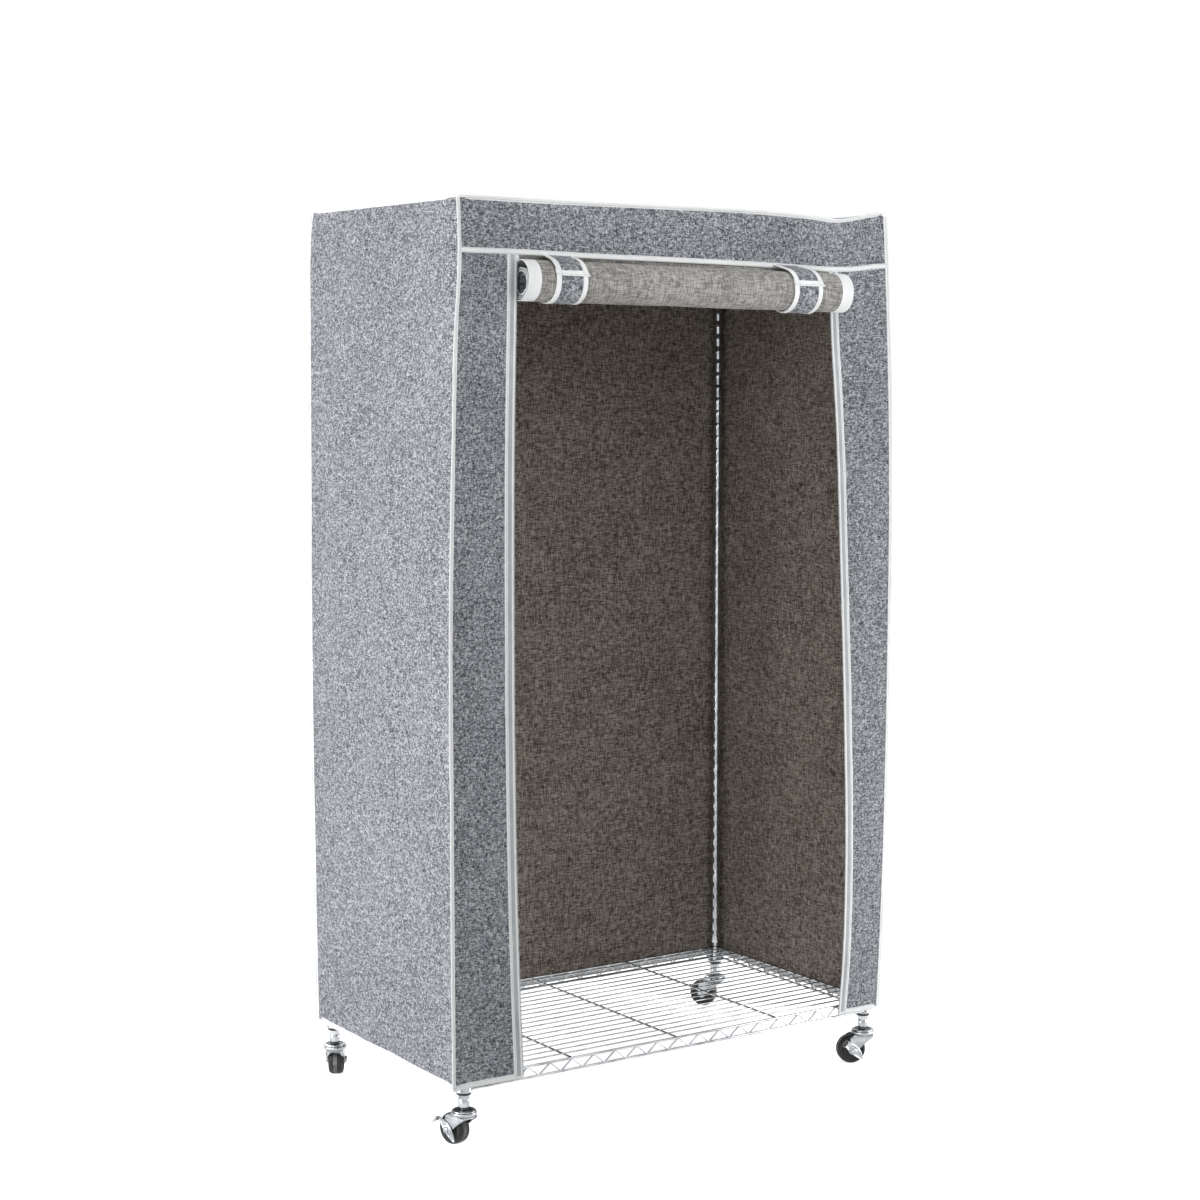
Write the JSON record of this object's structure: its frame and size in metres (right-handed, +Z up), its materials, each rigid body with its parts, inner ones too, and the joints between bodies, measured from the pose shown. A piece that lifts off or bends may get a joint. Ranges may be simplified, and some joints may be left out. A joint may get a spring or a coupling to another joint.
{
  "type": "portable fabric wardrobe",
  "caption": "Rolling garment rack of chrome posts and wire shelves in a grey cloth cover, its front door rolled up under a valance and held by two straps.",
  "frame": {"origin": "on the floor, under the middle of the whole wardrobe as it stands", "axes": "+Z up, -Y out of the front, where the door opening is, and +X towards the right as seen from the front"},
  "size_m": [0.952, 0.6063, 1.5943],
  "materials": {
    "chrome_steel": "bright chrome plating",
    "black_plastic": "moulded, slight sheen",
    "zinc_steel": "bright zinc plating",
    "wheel_rubber": "dull black",
    "grey_cloth": "woven grey mélange, linen look",
    "reverse_cloth": "smooth beige-grey reverse side",
    "white_binding": "white non-woven edge tape",
    "zip_tape": "white woven zip tape with moulded coil",
    "painted_zinc": "light grey paint"
  },
  "bodies": {
    "rack": {"post_front_left": "chrome_steel", "post_front_right": "chrome_steel", "post_rear_left": "chrome_steel", "post_rear_right": "chrome_steel", "lower_sleeve_front_left": "black_plastic", "lower_sleeve_front_right": "black_plastic", "lower_sleeve_rear_left": "black_plastic", "lower_sleeve_rear_right": "black_plastic", "upper_sleeve_front_left": "black_plastic", "upper_sleeve_front_right": "black_plastic", "upper_sleeve_rear_left": "black_plastic", "upper_sleeve_rear_right": "black_plastic", "bottom_shelf": "chrome_steel", "top_shelf": "chrome_steel", "hanging_rod": "chrome_steel", "rod_bracket_left": "chrome_steel", "rod_bracket_right": "chrome_steel", "caster_stem_front_left": "black_plastic", "caster_stem_front_right": "black_plastic", "caster_stem_rear_left": "black_plastic", "caster_stem_rear_right": "black_plastic", "cover_side_left": "grey_cloth", "cover_side_right": "grey_cloth", "cover_back": "grey_cloth", "cover_top": "grey_cloth", "valance": "grey_cloth", "seam_band": "white_binding", "front_strip_left": "grey_cloth", "front_strip_right": "grey_cloth", "zip_tape_left": "zip_tape", "zip_tape_right": "zip_tape", "hem_binding": "white_binding", "top_binding": "white_binding", "corner_binding_front_left": "white_binding", "corner_binding_front_right": "white_binding", "corner_binding_rear_left": "white_binding", "corner_binding_rear_right": "white_binding", "strap_wrap_left": "grey_cloth", "strap_wrap_right": "grey_cloth", "door_sheet": "grey_cloth"},
    "caster_front_left": {"caster_fork_front_left": "zinc_steel", "caster_axle_front_left": "zinc_steel"},
    "caster_front_right": {"caster_fork_front_right": "zinc_steel", "caster_axle_front_right": "zinc_steel"},
    "caster_rear_left": {"caster_fork_rear_left": "zinc_steel", "caster_axle_rear_left": "zinc_steel"},
    "caster_rear_right": {"caster_fork_rear_right": "zinc_steel", "caster_axle_rear_right": "zinc_steel"},
    "wheel_front_left": {"caster_wheel_front_left": "wheel_rubber"},
    "wheel_front_right": {"caster_wheel_front_right": "wheel_rubber"},
    "wheel_rear_left": {"caster_wheel_rear_left": "wheel_rubber"},
    "wheel_rear_right": {"caster_wheel_rear_right": "wheel_rubber"},
    "lever_front_left": {"brake_lever_front_left": "zinc_steel"},
    "lever_front_right": {"brake_lever_front_right": "zinc_steel"},
    "slider_left": {"zip_slider_left": "painted_zinc"},
    "slider_right": {"zip_slider_right": "painted_zinc"},
    "tab_left": {"strap_tab_left": "grey_cloth"},
    "tab_right": {"strap_tab_right": "grey_cloth"},
    "rolled_door": {"door_roll": "reverse_cloth"}
  },
  "joints": [
    {"name": "swivel_front_left", "type": "hinge", "parent": "rack", "child": "caster_front_left", "pos_m": [-0.44032, -0.21488, 0.058], "axis": [0, 0, 1], "continuous": true},
    {"name": "swivel_front_right", "type": "hinge", "parent": "rack", "child": "caster_front_right", "pos_m": [0.43768, -0.21488, 0.058], "axis": [0, 0, 1], "continuous": true},
    {"name": "swivel_rear_left", "type": "hinge", "parent": "rack", "child": "caster_rear_left", "pos_m": [-0.44032, 0.25512, 0.058], "axis": [0, 0, 1], "continuous": true},
    {"name": "swivel_rear_right", "type": "hinge", "parent": "rack", "child": "caster_rear_right", "pos_m": [0.43768, 0.25512, 0.058], "axis": [0, 0, 1], "continuous": true},
    {"name": "wheel_spin_front_left", "type": "hinge", "parent": "caster_front_left", "child": "wheel_front_left", "pos_m": [-0.44503, -0.19155, 0.027], "axis": [-0.9802, -0.1979, 0], "continuous": true},
    {"name": "wheel_spin_front_right", "type": "hinge", "parent": "caster_front_right", "child": "wheel_front_right", "pos_m": [0.41559, -0.20602, 0.027], "axis": [-0.3724, -0.9281, 0], "continuous": true},
    {"name": "wheel_spin_rear_left", "type": "hinge", "parent": "caster_rear_left", "child": "wheel_rear_left", "pos_m": [-0.42717, 0.27495, 0.027], "axis": [-0.8333, 0.5529, 0], "continuous": true},
    {"name": "wheel_spin_rear_right", "type": "hinge", "parent": "caster_rear_right", "child": "wheel_rear_right", "pos_m": [0.42367, 0.27436, 0.027], "axis": [-0.8085, -0.5885, 0], "continuous": true},
    {"name": "brake_front_left", "type": "hinge", "parent": "caster_front_left", "child": "lever_front_left", "pos_m": [-0.44503, -0.19155, 0.027], "axis": [-0.9802, -0.1979, 0], "range_deg": [0, 22]},
    {"name": "brake_front_right", "type": "hinge", "parent": "caster_front_right", "child": "lever_front_right", "pos_m": [0.41559, -0.20602, 0.027], "axis": [-0.3724, -0.9281, 0], "range_deg": [0, 22]},
    {"name": "zip_left", "type": "slide", "parent": "rack", "child": "slider_left", "axis": [0.0043, 0, -1], "range_m": [0, 1.33]},
    {"name": "zip_right", "type": "slide", "parent": "rack", "child": "slider_right", "axis": [0.0305, 0, -0.9995], "range_m": [0, 1.32]},
    {"name": "strap_tab_hinge_left", "type": "hinge", "parent": "rack", "child": "tab_left", "pos_m": [-0.25932, -0.23488, 1.4993], "axis": [-1, 0, 0], "range_deg": [0, 75]},
    {"name": "strap_tab_hinge_right", "type": "hinge", "parent": "rack", "child": "tab_right", "pos_m": [0.22268, -0.23488, 1.4928], "axis": [-1, 0, 0], "range_deg": [0, 75]},
    {"name": "door_drop", "type": "slide", "parent": "rack", "child": "rolled_door", "axis": [0.0155, -0.0294, -0.9994], "range_m": [0, 1.29], "deforming": ["door_sheet", "strap_wrap_left", "strap_wrap_right"]}
  ]
}
